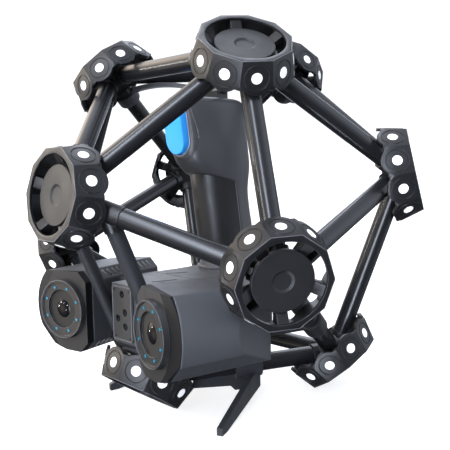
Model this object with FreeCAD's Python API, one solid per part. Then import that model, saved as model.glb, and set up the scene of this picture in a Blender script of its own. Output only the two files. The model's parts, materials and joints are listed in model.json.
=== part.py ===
import FreeCAD, Part
import math
import os

# Hand-held laser scanner in a ball-shaped tracking cage.
# Eleven ten-sided target hubs sit at the corners of a regular icosahedron and
# straight tubes join them. The twelfth corner, low at the back, is left out so
# that a hand can reach the grip in the middle. Millimetres, +Z up, front to -Y.

V = FreeCAD.Vector
X_AXIS = V(1, 0, 0)
Y_AXIS = V(0, 1, 0)
Z_AXIS = V(0, 0, 1)
ORIGIN = V(0, 0, 0)

# Cage
cage_radius = 120.5          # cage centre to each hub's target plane
stand_tilt = 20.0            # the cage leans forward by this when it stands
tube_radius = 5.6
strut_major = 4.9            # half sizes of the oval strut beside the laser
strut_minor = 3.9
strut_end_radius = 3.3
strut_turn = 50.0
strut_offset = 21.5          # strut centre from the middle plane
seat_gap = 0.2

# Target hub
ring_sides = 10
ring_apothem = 27.6          # centre to a side face, at the target plane
ring_taper = 15.0
ring_front = 8.8             # target plane to the ring's front
ring_body_back = 2.0         # target plane to the back of the solid rim
ring_bore_radius = 22.4
skirt_wall = 2.0
skirt_edge = 6.3             # target centre to the skirt's straight edge
lobe_radius = 9.3
spoke_count = 5
spoke_width = 6.5
hub_plate_apothem = 13.5
hub_plate_back = -1.0
hub_plate_front = 3.0
cap_radius = 16.4
cap_front = 8.4
core_face = 12.2             # hub centre to the core's flat seat for a collar
core_depth = 11.0
collar_sides = 12
socket_radius = 7.0
socket_length = 16.0
long_socket_radius = 6.1
long_socket_length = 36.0
strut_socket_radius = 5.6
strut_socket_length = 11.0

# Optics head, in its own level frame about the cage centre. Its places are
# measured from the cage's front lower hub, which carries it.
optics_tilt = 23.6           # the optics look up from the cage's front axis
lens_x = 45.1
lens_ahead = 29.7            # lamp plane in front of the hub
lens_above = 42.3            # lens axis above the hub
toe_in = 11.8
bezel_face = 2.5             # lamp plane back to the bezel's face
bezel_depth = 5.5            # at its inner edge
seam_turn = 4.0              # the bezel gets thinner outwards by this
barrel_length = 72.0         # lamp plane to the barrel's rear wall
barrel_wall = 2.0
barrel_rear_x = 11.0         # outer edge of the rear wall
barrel_rear_turn = 26.6      # of the sloped outer rear corner
outline_inner = 19.2         # lens axis to the flat inner side
outline_outer = 27.0         # lens axis to the round outer side
outline_top = 24.2
outline_bottom = 26.9
outline_chamfer = 6.4
shoulder_x = 17.5            # where the top meets the round outer side
shoulder_z = 22.8
bulge_z = 5.5                # height of the widest place
flank_x = 24.2               # where the round side meets the lower flank
flank_z = -13.5
keel_x = 11.5
keel_z = -24.4
face_round_x = -13.6         # the bezel's flat face ends in a round edge about here
face_round_radius = 32.0
face_slope_width = 9.0
face_slope_depth = 1.8
vent_count = 11
vent_pitch = 4.3
vent_width = 1.5
vent_length = 5.8
vent_slant = 12.0
vent_top_start = 22.5        # lamp plane to the first slot
vent_low_start = 14.0
vent_low_count = 5
lens_ring_radius = 19.2
lens_lip_radius = 18.4
lens_lip_front = 1.0
lamp_track_outer = 17.2
lamp_track_inner = 12.3
lamp_circle_radius = 14.3
lamp_size = 1.5
lamp_count = 8
lens_well = 1.6
glass_radius = 6.0
glass_bulge = 1.8
lens_cell_radius = 9.0
lens_cell_length = 24.0

# Housing between the camera barrels
bridge_half_width = 27.0
bridge_setback = 6.6         # hub to the bridge's front
bridge_length = 93.0
bridge_above = 19.1          # hub to the bridge's floor
bridge_height = 42.0
bridge_edge = 5.0
bridge_top_half_width = 19.5 # of the top's flat part
bridge_top_slope = 10.0      # from there down to the barrels
bridge_wall = 2.5
wall_bite = 1.0              # bridge into the barrels' walls
seam_setback = 18.5          # bridge front to the groove across its top
seam_width = 0.7
seam_depth = 0.5
inlet_radius = 8.0
inlet_length = 10.0
inlet_bore_radius = 5.5
inlet_bore_depth = 9.0
board_half_width = 14.0
board_thickness = 1.6
post_height = 14.0
post_size = 4.0
board_front_gap = 18.0       # bridge front to the board
board_back_gap = 8.0
sensor_board_half = 13.0
sensor_chip_half = 7.0
sensor_thickness = 1.6
laser_half_width = 12.5
laser_length = 20.0          # in front of the bridge
laser_overlap = 6.0          # into the bridge
laser_brow = 0.2             # its top slopes down by this to the front
laser_chin = 6.0
chin_half_width = 8.5
chin_height = 3.5
chin_setback = 4.0
chin_length = 14.0
laser_plate_half_width = 9.6
laser_plate_margin = 0.8     # brow to the plate
laser_plate_height = 33.1
laser_plate_thickness = 1.8
laser_plate_corner = 2.0
laser_plate_bevel = 0.8
laser_window_radius = 2.35
laser_window_places = [(0.0, 4.8), (2.5, 15.7), (-4.7, 20.0), (2.5, 24.3)]   # x, below its top
laser_module_length = 16.5

# Grip
grip_half_width = 16.0
grip_half_depth = 20.7
grip_end_radius = 14.0
grip_lean = 7.8              # the grip's top leans forward by this
grip_centre_y = 1.7          # of its axis, at the cage centre's height
grip_foot_height = 3.0
grip_foot_margin = 3.0
sleeve_depth = 2.4
sleeve_split = -0.8          # sleeve covers the front, back to here from the axis
sleeve_bottom = -60.0        # column's lower end along its axis, before it is trimmed
neck_height = 20.2           # the head's slanted lower plane, on the cage's axis
neck_slope = 15.0
neck_overhang = 2.6          # head in front of the sleeve, at the neck
head_half_width = 17.5
head_end_radius = 14.5
head_front = -31.2           # flat front, from the grip's axis
head_nose = -33.4            # where the oval would end without the flat
head_back = 25.5
head_shoulder = 32.0         # height where the back starts to narrow to the neck
head_jaw = 36.0              # height where the front starts to narrow to the neck
head_top = 75.2
neck_turns = [45.0, 90.0, 135.0]   # sides where the head narrows to the neck, from the back
neck_rise = 14.0             # height over which it does
trigger_half_width = 8.3
trigger_bottom = 39.0
trigger_top = 72.0
trigger_proud = 3.0
trigger_depth = 7.6          # behind the head's front, at the middle
trigger_travel = 2.0
trigger_gap = 0.4
switch_half_width = 3.2
switch_half_height = 6.4
switch_depth = 6.5
key_radius = 3.6
key_proud = 1.2
key_depth = 5.0
key_travel = 0.8
key_gap = 0.35
key_heights = [47.0, 57.0, 67.0]

# Arms, clips and stand
bracket_half_width = 6.0
bracket_front = -7.5
bracket_back = 2.5
bracket_height = 7.0
bracket_corner = 2.0
clip_radius = 8.2
clip_length = 8.0
upper_clip_at = 0.17
upper_arm_width = 5.0
upper_arm_thickness = 3.0
arm_root_height = 4.2        # arm's axis above the head's top
arm_crown_x = 42.0
arm_crown_y = -17.5
arm_crown_height = 12.3
arm_end_inset = 1.2
arm_end_y = 0.8
arm_end_height = 3.2
lower_clip_at = 0.535
lower_clip_length = 16.0
lower_clip_radius = 7.2
lower_arm_radius = 4.0
lower_arm_x = 2.0            # its seat on the barrel's rear wall
lower_arm_drop = 9.0
stand_clip_at = 0.52
stand_clip_length = 17.0
stand_clip_radius = 8.4
leg_thickness = 3.8
foot_x = 55.3
foot_y = -58.0
foot_height = 4.4            # height of the leg's blunt end
leg_out = 5.1                # leg's top from the clamp's centre
leg_behind = 3.6
leg_below = 0.6
leg_drop = 14.0
leg_overlap = 2.0
fin_start_at = 0.24          # share of the tube where the fin under it starts
fin_knee_at = 0.43
fin_thickness = 3.0
fin_front_depth = 10.6       # below the tube's axis
fin_knee_depth = 12.6
fin_back_depth = 15.8

# Corners of the icosahedron: three golden rectangles
golden = (1 + math.sqrt(5)) / 2
short_half = cage_radius / math.sqrt(1 + golden ** 2)
long_half = short_half * golden

hubs = {
    "top_right": V(short_half, 0, long_half),
    "top_left": V(-short_half, 0, long_half),
    "front_upper": V(0, -long_half, short_half),
    "front_lower": V(0, -long_half, -short_half),
    "right_front": V(long_half, -short_half, 0),
    "right_rear": V(long_half, short_half, 0),
    "left_front": V(-long_half, -short_half, 0),
    "left_rear": V(-long_half, short_half, 0),
    "bottom_right": V(short_half, 0, -long_half),
    "bottom_left": V(-short_half, 0, -long_half),
    "rear_upper": V(0, long_half, short_half),
}
absent_corner = V(0, long_half, -short_half)

# Places in the optics' frame, from the hub that carries the optics
cage_to_optics = FreeCAD.Placement(ORIGIN, FreeCAD.Rotation(X_AXIS, optics_tilt))
carrier = cage_to_optics.multVec(hubs["front_lower"])
lens_y = carrier.y - lens_ahead
lens_z = carrier.z + lens_above
bridge_front = carrier.y + bridge_setback
bridge_back = bridge_front + bridge_length
bridge_bottom = carrier.z + bridge_above
bridge_top = bridge_bottom + bridge_height
inlet_z = (bridge_top + bridge_bottom) / 2
board_front = bridge_front + board_front_gap
board_back = bridge_back - board_back_gap
board_z = bridge_bottom + post_height
laser_front = bridge_front - laser_length
laser_plate_top = bridge_top - laser_brow - laser_plate_margin
laser_plate_bottom = laser_plate_top - laser_plate_height
laser_windows = [(x, laser_plate_top - below) for x, below in laser_window_places]

# A ring that isn't in line with its tubes is turned by this many degrees
ring_turn = {"bottom_right": 17.0, "bottom_left": -17.0, "top_left": -7.0}

# Tubes that stop at the optics housing, and the edge that the struts replace
housing_edges = [("front_lower", "right_front"), ("front_lower", "left_front")]
strut_edge = ("front_lower", "front_upper")


def edge_list():
    """Every pair of neighbouring hubs, but not the edge the struts replace."""
    edge_length = 2 * short_half
    names = sorted(hubs)
    pairs = []
    for i, first in enumerate(names):
        for second in names[i + 1:]:
            if abs(hubs[first].distanceToPoint(hubs[second]) - edge_length) < 1:
                if (first, second) != strut_edge:
                    pairs.append((first, second))
    return pairs


edges = edge_list()


def unit(v):
    w = V(v)
    w.normalize()
    return w


def frame_at(origin, z_dir, x_hint):
    """A placement with its Z along z_dir and its X towards x_hint."""
    z = unit(z_dir)
    x = unit(x_hint - z * x_hint.dot(z))
    y = z.cross(x)
    m = FreeCAD.Matrix(
        x.x, y.x, z.x, origin.x,
        x.y, y.y, z.y, origin.y,
        x.z, y.z, z.z, origin.z,
        0, 0, 0, 1,
    )
    return FreeCAD.Placement(m)


def placed(shape, frame):
    s = shape.copy()
    s.Placement = frame.multiply(s.Placement)
    return s


def mirrored(shape):
    return shape.mirror(ORIGIN, X_AXIS)


def both_sides(shape):
    return [shape, mirrored(shape)]


def rod(start, end, radius):
    axis = end - start
    return Part.makeCylinder(radius, axis.Length, start, axis)


def prism(points, vector):
    wire = Part.makePolygon(points + [points[0]])
    return Part.Face(wire).extrude(vector)


def box(x0, x1, y0, y1, z0, z1):
    return Part.makeBox(x1 - x0, y1 - y0, z1 - z0, V(x0, y0, z0))


def fuse(shapes):
    result = shapes[0]
    if len(shapes) > 1:
        result = result.fuse(shapes[1:])
    return result.removeSplitter()


def oval_wire(half_x, half_y, end_radius):
    """Oval of four tangent arcs, longer front to back."""
    offset = half_y - end_radius
    side_radius = (offset ** 2 + half_x ** 2 - end_radius ** 2) / (2 * (half_x - end_radius))
    reach = side_radius / (side_radius - end_radius)
    x = reach * (side_radius - half_x) - (side_radius - half_x)
    y = reach * offset
    arcs = [
        (V(x, y, 0), V(0, half_y, 0), V(-x, y, 0)),
        (V(-x, y, 0), V(-half_x, 0, 0), V(-x, -y, 0)),
        (V(-x, -y, 0), V(0, -half_y, 0), V(x, -y, 0)),
        (V(x, -y, 0), V(half_x, 0, 0), V(x, y, 0)),
    ]
    return Part.Wire([Part.Arc(a, b, c).toShape() for a, b, c in arcs])


def revolve_profile(points, axis_dir):
    """Revolve (radius, height) points about the axis through the origin."""
    side = X_AXIS
    wire = [side * r + axis_dir * h for r, h in points]
    face = Part.Face(Part.makePolygon(wire + [wire[0]]))
    return face.revolve(ORIGIN, axis_dir, 360)


def decagon(apothem, z):
    corner = apothem / math.cos(math.pi / ring_sides)
    step = 2 * math.pi / ring_sides
    points = []
    for k in range(ring_sides):
        angle = (k + 0.5) * step
        points.append(V(corner * math.cos(angle), corner * math.sin(angle), z))
    return Part.makePolygon(points + [points[0]])


def regular_prism(sides, radius, height):
    step = 2 * math.pi / sides
    angles = [(k + 0.5) * step for k in range(sides)]
    return prism([V(radius * math.cos(a), radius * math.sin(a), 0) for a in angles], V(0, 0, height))


# Hub pieces, made once at the origin with +Z outwards

def skirt_panel():
    """One side face's skirt with its round lobe, facing +X."""
    half_angle = math.pi / ring_sides
    taper = math.radians(ring_taper)

    def half_width(v):
        return (ring_apothem - v * math.sin(taper)) * math.tan(half_angle)

    top = 1.0
    chord = math.sqrt(lobe_radius ** 2 - skirt_edge ** 2)
    a = V(0, -half_width(top), top)
    b = V(0, half_width(top), top)
    c = V(0, half_width(-skirt_edge), -skirt_edge)
    d = V(0, chord, -skirt_edge)
    e = V(0, 0, -lobe_radius)
    f = V(0, -chord, -skirt_edge)
    g = V(0, -half_width(-skirt_edge), -skirt_edge)
    lobe = Part.Arc(d, e, f).toShape()
    lines = [Part.makeLine(p, q) for p, q in ((a, b), (b, c), (c, d))]
    lines += [lobe, Part.makeLine(f, g), Part.makeLine(g, a)]
    panel = Part.Face(Part.Wire(lines)).extrude(V(-skirt_wall, 0, 0))
    panel.rotate(ORIGIN, Y_AXIS, -ring_taper)
    panel.translate(V(ring_apothem, 0, 0))
    return panel


def target_ring():
    """Ten-sided ring with a lobed skirt, five spokes and a middle plate."""
    slope = math.tan(math.radians(ring_taper))
    wires = [
        decagon(ring_apothem + ring_body_back * slope, -ring_body_back),
        decagon(ring_apothem - ring_front * slope, ring_front),
    ]
    rim = Part.makeLoft(wires, True, True)
    depth = ring_front + ring_body_back + 2
    rim = rim.cut(Part.makeCylinder(ring_bore_radius, depth, V(0, 0, -ring_body_back - 1)))
    pieces = [rim]
    panel = skirt_panel()
    for k in range(ring_sides):
        p = panel.copy()
        p.rotate(ORIGIN, Z_AXIS, k * 360 / ring_sides)
        pieces.append(p)
    plate = Part.Face(decagon(hub_plate_apothem, hub_plate_back))
    pieces.append(plate.extrude(V(0, 0, hub_plate_front - hub_plate_back)))
    for k in range(spoke_count):
        spoke = box(
            hub_plate_apothem - 1, ring_bore_radius + 1,
            -spoke_width / 2, spoke_width / 2,
            hub_plate_back, hub_plate_front,
        )
        spoke.rotate(ORIGIN, Z_AXIS, (k + 0.5) * 360 / spoke_count)
        pieces.append(spoke)
    return fuse(pieces)


def hub_cap():
    return Part.makeCylinder(cap_radius, cap_front - hub_plate_front, V(0, 0, hub_plate_front))


def hub_neighbours(name):
    return [b if a == name else a for a, b in edges if name in (a, b)]


def tube_direction(name, other):
    return unit(hubs[other] - hubs[name])


def has_strut_socket(name, other):
    return name == "front_upper" and other in ("right_front", "left_front")


def strut_point(name, side):
    """Where the strut's axis meets the tube that carries it."""
    other = "right_front" if side > 0 else "left_front"
    along = strut_offset / abs(hubs[other].x - hubs[name].x)
    return hubs[name] + (hubs[other] - hubs[name]) * along


def joint_core(name):
    """Five-faced moulded core behind a ring, with a collar for each tube."""
    centre = hubs[name]
    out = unit(centre)
    corners = list(hubs.values()) + [absent_corner]
    edge_length = 2 * short_half
    around = [c for c in corners if abs(centre.distanceToPoint(c) - edge_length) < 1]
    frame = frame_at(centre, out, around[0] - centre)
    size = 4 * core_face
    block = Part.makeCylinder(size / 2, core_depth + hub_plate_back, V(0, 0, -core_depth))
    core = placed(block, frame)
    for corner in around:
        along = unit(corner - centre)
        beyond = box(-size, size, -size, size, 0, size)
        core = core.cut(placed(beyond, frame_at(centre + along * core_face, along, out)))
    solids = [core]
    for other in hub_neighbours(name):
        along = tube_direction(name, other)
        start = centre + along * (core_face - 1)
        if has_strut_socket(name, other):
            side = 1 if other == "right_front" else -1
            meet = strut_point(name, side)
            solids.append(rod(meet, meet - Z_AXIS * strut_socket_length, strut_socket_radius))
            solids.append(rod(start, centre + along * long_socket_length, long_socket_radius))
        else:
            collar = regular_prism(collar_sides, socket_radius, socket_length - core_face + 1)
            solids.append(placed(collar, frame_at(start, along, out)))
    above = Part.makeCylinder(size, size, centre + out * hub_plate_back, out)
    return fuse(solids).cut(above)


def socket_end(name, other):
    return long_socket_length if has_strut_socket(name, other) else socket_length


def cage_tube(first, second):
    along = tube_direction(first, second)
    start = hubs[first] + along * socket_end(first, second)
    end = hubs[second] - along * socket_end(second, first)
    return rod(start, end, tube_radius)


# Optics, in the level frame about the cage centre

lens_frame = FreeCAD.Placement(
    V(lens_x, lens_y, lens_z), FreeCAD.Rotation(Z_AXIS, -toe_in)
)


def chamfer_ends(side):
    """Ends of the chamfer on the barrel's inner side, at the top (1) or below (-1)."""
    edge = outline_top if side > 0 else -outline_bottom
    wall_end = V(-outline_inner, 0, edge - side * outline_chamfer)
    flat_end = V(-outline_inner + outline_chamfer, 0, edge)
    return wall_end, flat_end


def lens_outline(y, shrink=0.0):
    """Outline of the right camera barrel: straight inside, round outside."""
    wall_top, crown = chamfer_ends(1)
    wall_low, floor = chamfer_ends(-1)
    shoulder = V(shoulder_x, 0, shoulder_z)
    bulge = V(outline_outer, 0, bulge_z)
    flank = V(flank_x, 0, flank_z)
    keel = V(keel_x, 0, keel_z)
    floor_end = V(0, 0, -outline_bottom)
    side = Part.Arc(shoulder, bulge, flank).toShape()
    corners = [flank, keel, floor_end, floor, wall_low, wall_top, crown, shoulder]
    lines = [Part.makeLine(p, q) for p, q in zip(corners, corners[1:])]
    wire = Part.Wire([side] + lines)
    wire.translate(V(0, y, 0))
    if shrink:
        wire = wire.makeOffset2D(-shrink)
    return wire


def barrel(shrink, y0, y1):
    return Part.Face(lens_outline(y0, shrink)).extrude(V(0, y1 - y0, 0))


def before_seam(shift=0.0):
    """Everything in front of the seam between bezel and barrel."""
    far = cage_radius
    zone = box(-far, far, -far, shift, -far, far)
    zone.rotate(ORIGIN, Z_AXIS, -seam_turn)
    zone.translate(V(-outline_inner, bezel_face + bezel_depth, 0))
    return zone


def rear_taper_cut(shrink):
    """Wedge that slopes the barrel's outer rear corner."""
    far = cage_radius
    wedge = box(-shrink, far, -far, far, -far, far)
    wedge.rotate(ORIGIN, Z_AXIS, barrel_rear_turn)
    wedge.translate(V(barrel_rear_x, barrel_length, 0))
    return wedge


def barrel_body():
    """The right barrel as a solid, behind the seam and with its sloped rear corner."""
    return barrel(0, 0, barrel_length).cut([before_seam(), rear_taper_cut(0)])


def vents():
    """Slanted slots through both chamfers on the barrel's inner side."""
    slots = []
    w, h = vent_width / 2, vent_length / 2
    for side, start, count in ((1, vent_top_start, vent_count), (-1, vent_low_start, vent_low_count)):
        wall_end, flat_end = chamfer_ends(side)
        middle = (wall_end + flat_end) * 0.5
        normal = V(wall_end.x - flat_end.x, 0, flat_end.z - wall_end.z)
        slot = box(-w, w, -h, h, -2 * barrel_wall, barrel_wall)
        slot.rotate(ORIGIN, Z_AXIS, -side * vent_slant)
        for k in range(count):
            place = middle + Y_AXIS * (start + k * vent_pitch)
            slots.append(placed(slot, frame_at(place, normal, Y_AXIS)))
    return slots


def inner_wall_x(y):
    """x of the right barrel's inner wall in the optics' frame."""
    toe = math.radians(toe_in)
    return lens_x + (y - lens_y) * math.tan(toe) - outline_inner / math.cos(toe)


def bridge_plan(shrink):
    """Plan of the body between the barrels, corner by corner."""
    y0, y1 = bridge_front + shrink, bridge_back - shrink
    barrels_end = lens_y + barrel_length * math.cos(math.radians(toe_in)) - bridge_edge - shrink
    e = bridge_edge
    x = bridge_half_width - shrink
    right = [
        (inner_wall_x(y0) + wall_bite, y0), (inner_wall_x(barrels_end) + wall_bite, barrels_end),
        (x - e, barrels_end + 2 * e), (x - e, y1 - e), (x - 2 * e, y1),
    ]
    return right + [(-px, py) for px, py in reversed(right)]


def under_roof(top, y0, y1):
    """Everything below the bridge's top, flat in the middle and sloped beside it."""
    far, flat = cage_radius, bridge_top_half_width
    edge = top - (far - flat) * math.tan(math.radians(bridge_top_slope))
    section = [(-far, -far), (far, -far), (far, edge), (flat, top), (-flat, top), (-far, edge)]
    return prism([V(x, y0, z) for x, z in section], V(0, y1 - y0, 0))


def bridge_solid(shrink):
    z0, z1 = bridge_bottom + shrink, bridge_top - shrink
    body = prism([V(px, py, z0) for px, py in bridge_plan(shrink)], V(0, 0, z1 - z0))
    return body.common(under_roof(z1, bridge_front, bridge_back))


def bridge_seam():
    """Fine groove across the bridge's top, the cover's joint."""
    y = bridge_front + seam_setback
    x = inner_wall_x(y)
    groove = box(-x, x, y, y + seam_width, inlet_z, bridge_top + seam_depth)
    return groove.cut(under_roof(bridge_top - seam_depth, y, y + seam_width))


def optics_housing():
    """Two camera barrels and the body between them, as one hollow casting."""
    inner = barrel(barrel_wall, 0, barrel_length - barrel_wall)
    inner = inner.cut([before_seam(-1), rear_taper_cut(barrel_wall)])
    right, right_in = placed(barrel_body(), lens_frame), placed(inner, lens_frame)
    body = fuse(both_sides(right) + [bridge_solid(0), laser_body(0), chin_block()])
    cavity = fuse(both_sides(right_in) + [bridge_solid(bridge_wall), laser_body(bridge_wall)])
    shell = body.cut(cavity).fuse(board_posts())
    slots = []
    for slot in vents():
        slots += both_sides(placed(slot, lens_frame))
    windows = [
        Part.makeCylinder(laser_window_radius, 2 * bridge_wall, V(x, laser_front - 1, z), Y_AXIS)
        for x, z in laser_windows
    ]
    return shell.cut([strut_channels(), bridge_seam()] + slots + windows)


def laser_body(shrink):
    """Nose between the struts, with a sloping brow and chin."""
    front, back = laser_front + shrink, bridge_front + laser_overlap
    low, top = bridge_bottom + shrink, bridge_top - shrink
    chin = laser_chin - shrink * (2 - math.sqrt(2))
    profile = [
        (front, low + chin), (front, top - laser_brow), (bridge_front, top),
        (back, top), (back, low), (front + chin, low),
    ]
    return side_slab(profile, laser_half_width - shrink)


def chin_block():
    """Smaller step under the nose, which stands on nothing."""
    front = laser_front + chin_setback
    low = bridge_bottom - chin_height
    back = front + chin_length
    profile = [
        (front + chin_height, low), (front, bridge_bottom),
        (front, bridge_bottom + laser_chin - chin_setback),
        (back, bridge_bottom + bridge_wall / 2), (back, low),
    ]
    return side_slab(profile, chin_half_width)


def strut_line(side):
    """The strut's two ends, in the cage frame."""
    top = strut_point("front_upper", side) - Z_AXIS * strut_socket_length
    bottom = strut_point("front_lower", side)
    return top, bottom


def lower_tube(side):
    """Whole line of the tube that carries a strut's lower end."""
    return rod(hubs["front_lower"], hubs["right_front" if side > 0 else "left_front"], tube_radius)


def strut(side, grow=0.0):
    top, bottom = strut_line(side)
    wire = oval_wire(strut_minor + grow, strut_major + grow, strut_end_radius + grow)
    solid = Part.Face(wire).extrude(Z_AXIS * (top.z - bottom.z))
    solid.rotate(ORIGIN, Z_AXIS, side * (strut_turn - 90))
    solid.translate(bottom)
    return solid


def strut_channels():
    return Part.Compound([placed(strut(s, seat_gap), cage_to_optics) for s in (1, -1)])


def bezel():
    """Front cover whose flat face slopes away to the round outer side."""
    plate = barrel(0, bezel_face, bezel_face + bezel_depth).common(before_seam())
    widen = bezel_depth * face_slope_width / face_slope_depth
    centre = V(face_round_x, bezel_face, 0)
    cone = Part.makeCone(face_round_radius, face_round_radius + widen, bezel_depth, centre, Y_AXIS)
    plate = plate.common(cone)
    return plate.cut(Part.makeCylinder(lens_cell_radius, 2 * bezel_depth + bezel_face, ORIGIN, Y_AXIS))


def lens_ring():
    profile = [
        (0, bezel_face), (0, lens_well),
        (lamp_track_inner, lens_well), (lamp_track_inner, 0),
        (lamp_track_outer, 0), (lamp_track_outer, -lens_lip_front),
        (lens_lip_radius, -lens_lip_front), (lens_ring_radius, bezel_face),
    ]
    return revolve_profile(profile, Y_AXIS)


def lens_glass():
    """Front element: a domed disc that seats in the lens ring."""
    ball = (glass_radius ** 2 + glass_bulge ** 2) / (2 * glass_bulge)
    dome = Part.makeSphere(ball, V(0, lens_well - glass_bulge + ball, 0))
    return dome.common(box(-ball, ball, lens_well - ball, lens_well, -ball, ball))


def lens_cell():
    return Part.makeCylinder(lens_cell_radius - seat_gap, lens_cell_length, V(0, bezel_face, 0), Y_AXIS)


def sensor_board():
    """Square board behind the lens cell, with the image chip on its back."""
    y = bezel_face + lens_cell_length
    h, c = sensor_board_half, sensor_chip_half
    board = box(-h, h, y, y + sensor_thickness, -h, h)
    chip = box(-c, c, y + sensor_thickness, y + 2 * sensor_thickness, -c, c)
    return fuse([board, chip])


def lamps():
    solids = []
    for k in range(lamp_count):
        angle = (k + 0.5) * 2 * math.pi / lamp_count
        spot = V(lamp_circle_radius * math.sin(angle), -0.4, lamp_circle_radius * math.cos(angle))
        lamp = box(-lamp_size / 2, lamp_size / 2, 0, 0.4, -lamp_size / 2, lamp_size / 2)
        lamp.rotate(ORIGIN, Y_AXIS, math.degrees(angle))
        lamp.translate(spot)
        solids.append(lamp)
    return Part.Compound(solids)


def laser_plate():
    plate = box(
        -laser_plate_half_width, laser_plate_half_width,
        laser_front - laser_plate_thickness, laser_front,
        laser_plate_bottom, laser_plate_top,
    )
    upright = [e for e in plate.Edges if e.Length < laser_plate_thickness + 0.01]
    plate = plate.makeChamfer(laser_plate_corner, upright)
    face_y = laser_front - laser_plate_thickness
    front = [e for e in plate.Edges if abs(e.CenterOfMass.y - face_y) < 0.01]
    plate = plate.makeChamfer(laser_plate_bevel, front)
    for x, z in laser_windows:
        start = V(x, laser_front - 2 * laser_plate_thickness, z)
        plate = plate.cut(Part.makeCylinder(laser_window_radius, 3 * laser_plate_thickness, start, Y_AXIS))
    return plate


def laser_diodes():
    """Laser modules that look out through the plate's four windows."""
    solids = []
    radius = laser_window_radius - seat_gap
    for x, z in laser_windows:
        solids.append(Part.makeCylinder(radius, laser_module_length, V(x, laser_front, z), Y_AXIS))
    return Part.Compound(solids)


def main_board():
    x = board_half_width
    return box(-x, x, board_front, board_back, board_z, board_z + board_thickness)


def board_posts():
    """Four posts that carry the board on the housing's floor."""
    x = board_half_width - post_size
    floor = bridge_bottom + bridge_wall / 2
    return [
        box(px, px + post_size, py, py + post_size, floor, board_z)
        for px in (-x - post_size, x) for py in (board_front, board_back - post_size)
    ]


# Grip, in the same level frame

grip_frame = FreeCAD.Placement(V(0, grip_centre_y, 0), FreeCAD.Rotation(X_AXIS, grip_lean))


def grip_foot():
    """Oval flange that the grip stands on, on top of the housing."""
    half_x = grip_half_width + grip_foot_margin
    half_y = grip_half_depth + grip_foot_margin
    wire = oval_wire(half_x, half_y, grip_end_radius + grip_foot_margin)
    centre_y = grip_centre_y - bridge_top * math.tan(math.radians(grip_lean))
    wire.translate(V(0, centre_y, bridge_top))
    return Part.Face(wire).extrude(Z_AXIS * grip_foot_height)


def grip_column(shrink, z0, z1):
    """Oval column in the grip's own leaning frame, between two heights along it."""
    wire = oval_wire(grip_half_width - shrink, grip_half_depth - shrink, grip_end_radius - shrink)
    wire.translate(V(0, 0, z0))
    return placed(Part.Face(wire).extrude(V(0, 0, z1 - z0)), grip_frame)


def neck_z(y):
    """Height of the slanted plane where the head starts."""
    return neck_height - y * math.tan(math.radians(neck_slope))


def side_slab(profile, half_width):
    """Side outline, given as (y, z) points, extruded across the middle plane."""
    return prism([V(-half_width, y, z) for y, z in profile], V(2 * half_width, 0, 0))


def grip_line(from_axis, z):
    """y of a plane along the grip's leaning axis, at a height."""
    lean = math.radians(grip_lean)
    return grip_centre_y + from_axis / math.cos(lean) - z * math.tan(lean)


def above_neck():
    far = cage_radius
    return side_slab([(-far, neck_z(-far)), (far, neck_z(far)), (far, 2 * far), (-far, 2 * far)], far)


def oval_reach(wire, turn):
    """How far an outline reaches in a direction, turned from +Y towards +X."""
    turned = wire.copy()
    turned.rotate(ORIGIN, Z_AXIS, turn)
    return turned.BoundBox.YMax


def neck_cut(head_wire, turn):
    """Everything outside the plane from the neck's outline up to the head's."""
    grip_wire = oval_wire(grip_half_width, grip_half_depth, grip_end_radius)
    angle = math.radians(turn)
    side = V(math.sin(angle), math.cos(angle), 0)
    low = side * oval_reach(grip_wire, turn)
    low = low + Z_AXIS * (neck_height - low.y * math.tan(math.radians(neck_slope + grip_lean)))
    high = side * oval_reach(head_wire, turn) + Z_AXIS * (low.z + neck_rise)
    normal = side * (high.z - low.z) - Z_AXIS * (high - low).dot(side)
    far = cage_radius
    outside = box(-far, far, -far, far, 0, far)
    return placed(outside, frame_at(low, normal, Z_AXIS.cross(side)))


def head_solid():
    """Head of the grip: a broad oval with a flat front, narrowed to the neck."""
    half_y = (head_back - head_nose) / 2
    wire = oval_wire(head_half_width, half_y, head_end_radius)
    wire.translate(V(0, (head_back + head_nose) / 2, 0))
    oval = Part.Face(wire).extrude(Z_AXIS * 2 * head_top)
    for turn in neck_turns:
        oval = oval.cut(both_sides(neck_cut(wire, turn)))
    oval = placed(oval, grip_frame)
    neck_front = grip_line(-grip_half_depth - neck_overhang, neck_height)
    neck_back = grip_line(grip_half_depth, neck_height)
    profile = [
        (neck_front, neck_z(neck_front)), (grip_line(head_front, head_jaw), head_jaw),
        (grip_line(head_front, head_top), head_top), (grip_line(head_back, head_top), head_top),
        (grip_line(head_back, head_shoulder), head_shoulder), (neck_back, neck_z(neck_back)),
    ]
    return oval.common(side_slab(profile, 2 * head_half_width))


def below_foot():
    far = cage_radius
    return box(-far, far, -far, far, -far, bridge_top + grip_foot_height)


def sleeve_zone():
    """Everything in front of the spine, from the grip's foot to its neck."""
    far = cage_radius
    front = box(-far, far, -far, sleeve_split, -far, far)
    return placed(front, grip_frame).cut(above_neck())


trigger_middle = (trigger_bottom + trigger_top) / 2
trigger_back = grip_line(head_front, trigger_middle) + trigger_depth


def trigger_block(grow, back):
    """Pill-shaped trigger, seen from the front."""
    w = trigger_half_width + grow
    z0 = trigger_bottom - grow + w
    z1 = trigger_top + grow - w
    y0 = grip_line(head_front, head_top) - 2 * trigger_proud
    a, b = V(-w, y0, z0), V(w, y0, z0)
    c, d = V(w, y0, z1), V(-w, y0, z1)
    arc_low = Part.Arc(a, V(0, y0, z0 - w), b).toShape()
    arc_high = Part.Arc(c, V(0, y0, z1 + w), d).toShape()
    wire = Part.Wire([arc_low, Part.makeLine(b, c), arc_high, Part.makeLine(d, a)])
    return Part.Face(wire).extrude(V(0, back - y0, 0))


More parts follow.
